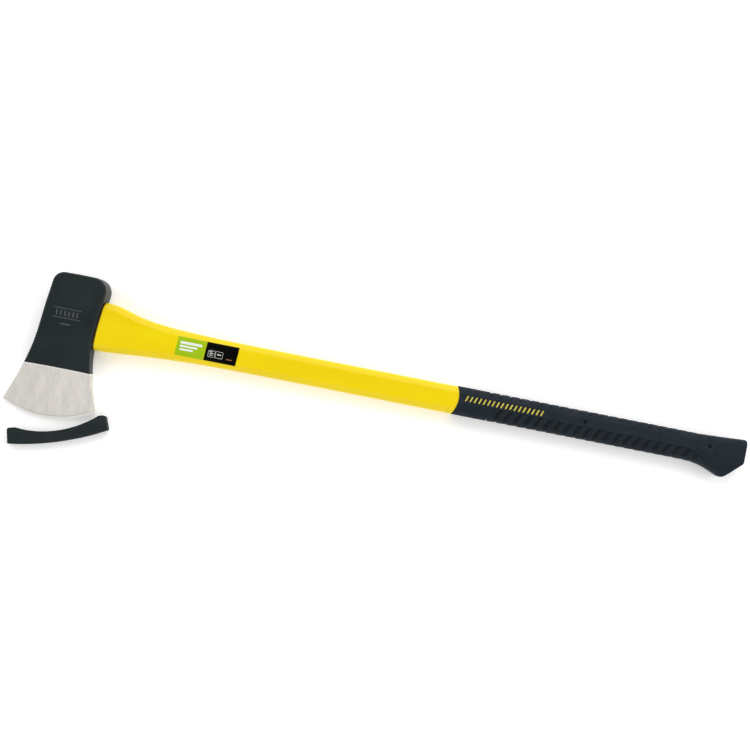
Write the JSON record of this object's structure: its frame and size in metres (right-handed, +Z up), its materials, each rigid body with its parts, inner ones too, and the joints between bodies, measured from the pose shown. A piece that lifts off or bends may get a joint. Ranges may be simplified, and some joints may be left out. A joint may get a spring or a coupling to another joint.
{
  "type": "felling axe with blade guard",
  "caption": "Felling axe lying on its side: forged head, yellow plastic-jacketed haft with a ribbed rubber grip, and a loose slotted rubber guard beside the cutting edge.",
  "frame": {"origin": "on the ground, straight below the centre of the head's eye, in the lower cheek facet that the axe rests on", "axes": "+X along the haft from the head to the butt, +Y across it towards the poll, +Z up, out of the upper cheek"},
  "size_m": [0.8958, 0.2182, 0.0375],
  "materials": {
    "head_paint": "satin",
    "cast_resin": "satin",
    "glass_fibre": "satin",
    "yellow_plastic": "satin",
    "grip_rubber": "matte",
    "yellow_rubber": "matte",
    "green_film": "satin",
    "black_film": "satin",
    "guard_rubber": "matte"
  },
  "bodies": {
    "axe": {"axe_head": "head_paint", "eye_resin": "cast_resin", "haft_core": "glass_fibre", "haft_jacket": "yellow_plastic", "grip_sleeve": "grip_rubber", "grip_marks": "yellow_rubber", "label_green": "green_film", "label_black": "black_film"},
    "guard": {"edge_guard": "guard_rubber"}
  },
  "joints": [
    {"name": "guard_on", "type": "hinge", "parent": "axe", "child": "guard", "pos_m": [0.07724, -0.06196, 0.0057], "axis": [0, 0, -1], "range_deg": [0, 16.69]}
  ]
}
